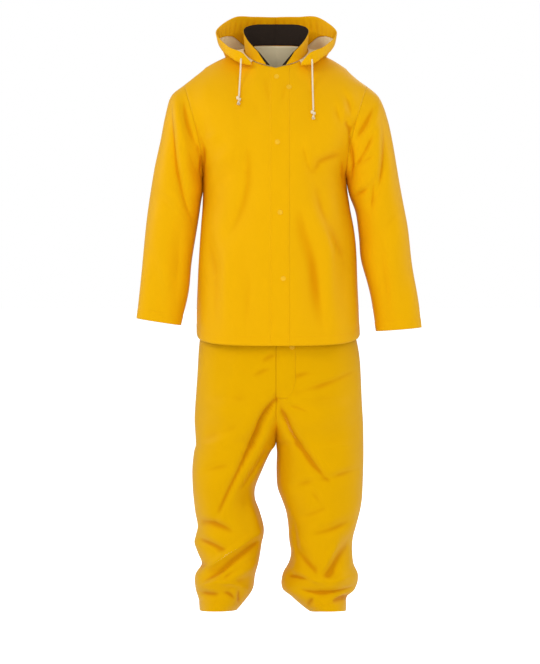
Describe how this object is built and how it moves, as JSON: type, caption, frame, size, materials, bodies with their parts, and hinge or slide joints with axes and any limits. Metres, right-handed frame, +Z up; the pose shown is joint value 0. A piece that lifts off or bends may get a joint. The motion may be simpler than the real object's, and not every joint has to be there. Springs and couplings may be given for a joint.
{
  "type": "two-piece rain suit",
  "caption": "Hollow worn-pose rain suit: hooded jacket with a snapped front flap over loose trousers with a fly placket and bunched ankles.",
  "frame": {"origin": "the middle of the neck at the height of the shoulders, where a wearer carries the suit", "axes": "+Z up, -Y the front of the suit, +X the wearer's left"},
  "size_m": [0.7546, 0.3675, 1.5858],
  "materials": {
    "coated_cloth": "satin plastic-coated polyester, bright yellow",
    "ribbed_facing": "dark ribbed pile",
    "cord": "braided off-white cord",
    "snap": "yellow press stud"
  },
  "bodies": {
    "root": {"jacket_front_right": "coated_cloth", "jacket_front_left": "coated_cloth", "jacket_back": "coated_cloth", "sleeve_right": "coated_cloth", "sleeve_left": "coated_cloth", "storm_flap": "coated_cloth", "collar": "coated_cloth", "collar_facing": "ribbed_facing", "hood_right": "coated_cloth", "hood_left": "coated_cloth", "trouser_front_right": "coated_cloth", "trouser_back_right": "coated_cloth", "trouser_front_left": "coated_cloth", "trouser_back_left": "coated_cloth", "fly_placket": "coated_cloth", "waistband": "coated_cloth", "snap_throat": "snap", "snap_collar_side": "snap", "snap_chest": "snap", "snap_waist": "snap", "snap_lower": "snap", "snap_fly": "snap", "drawcord_right": "cord", "drawcord_knot_right": "cord", "drawcord_left": "cord", "drawcord_knot_left": "cord"}
  },
  "joints": []
}
